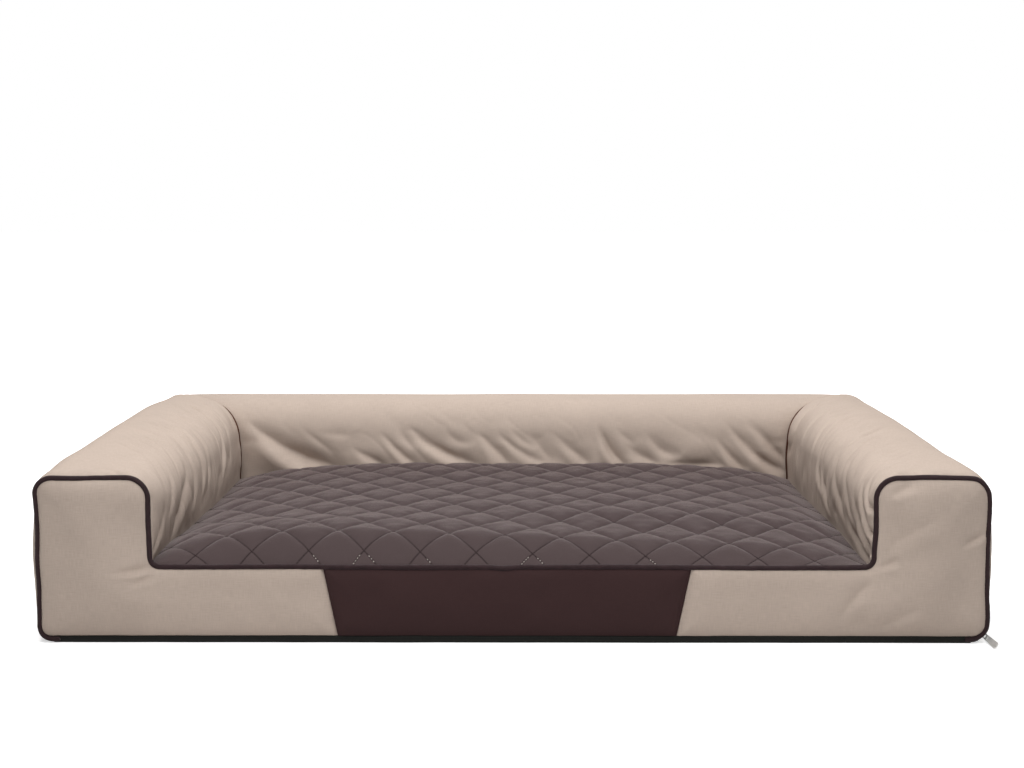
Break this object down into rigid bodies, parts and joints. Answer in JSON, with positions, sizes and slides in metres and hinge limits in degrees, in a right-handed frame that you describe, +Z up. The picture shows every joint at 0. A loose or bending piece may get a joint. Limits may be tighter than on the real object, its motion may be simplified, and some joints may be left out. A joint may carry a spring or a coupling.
{
  "type": "bolster dog bed",
  "caption": "Open-front dog bed: quilted mattress on a foam slab, U of padded bolsters on three sides, piped front panels, non-slip base and a side zip with a sliding pull.",
  "frame": {"origin": "middle of the flat underside, on the floor", "axes": "+X to the right across the bed, seen from its open front; +Y from the front to the back bolster; +Z up"},
  "size_m": [1.2118, 0.8322, 0.219],
  "materials": {
    "black_base_fabric": "matt coated non-slip fabric",
    "foam": "open-cell foam",
    "memory_foam": "soft open-cell foam",
    "quilted_brown_fabric": "quilted matt woven fabric",
    "fibre_fill": "polyester fibre",
    "beige_fabric": "fine woven fabric with a soft sheen",
    "dark_brown_fabric": "fine woven fabric",
    "piping_fabric": "woven bias tape",
    "piping_cord": "cotton cord",
    "zip_tape": "woven tape",
    "zip_teeth": "moulded plastic",
    "zip_metal": "bright nickel"
  },
  "bodies": {
    "bed": {"base_panel": "black_base_fabric", "foam_base_slab": "foam", "foam_topper": "memory_foam", "quilted_top": "quilted_brown_fabric", "left_bolster_core": "fibre_fill", "right_bolster_core": "fibre_fill", "back_bolster_core": "fibre_fill", "left_bolster_cover": "beige_fabric", "right_bolster_cover": "beige_fabric", "back_bolster_cover": "beige_fabric", "front_panel_left": "beige_fabric", "front_panel_right": "beige_fabric", "front_panel_insert": "dark_brown_fabric", "front_piping": "piping_fabric", "front_piping_cord": "piping_cord", "zipper_tape_upper": "zip_tape", "zipper_tape_lower": "zip_tape", "zipper_teeth_upper": "zip_teeth", "zipper_teeth_lower": "zip_teeth", "zipper_top_stops": "zip_metal", "zipper_bottom_stop": "zip_metal"},
    "slider": {"zipper_slider": "zip_metal"},
    "pull": {"zipper_pull": "zip_metal"}
  },
  "joints": [
    {"name": "zip_slide", "type": "slide", "parent": "bed", "child": "slider", "axis": [0, 1, 0], "range_m": [0, 0.718], "deforming": ["zipper_teeth_upper", "zipper_teeth_lower"]},
    {"name": "pull_swing", "type": "hinge", "parent": "slider", "child": "pull", "pos_m": [0.59838, -0.3877, 0.00814], "axis": [0.5299, 0, 0.848], "range_deg": [-14, 135]}
  ]
}
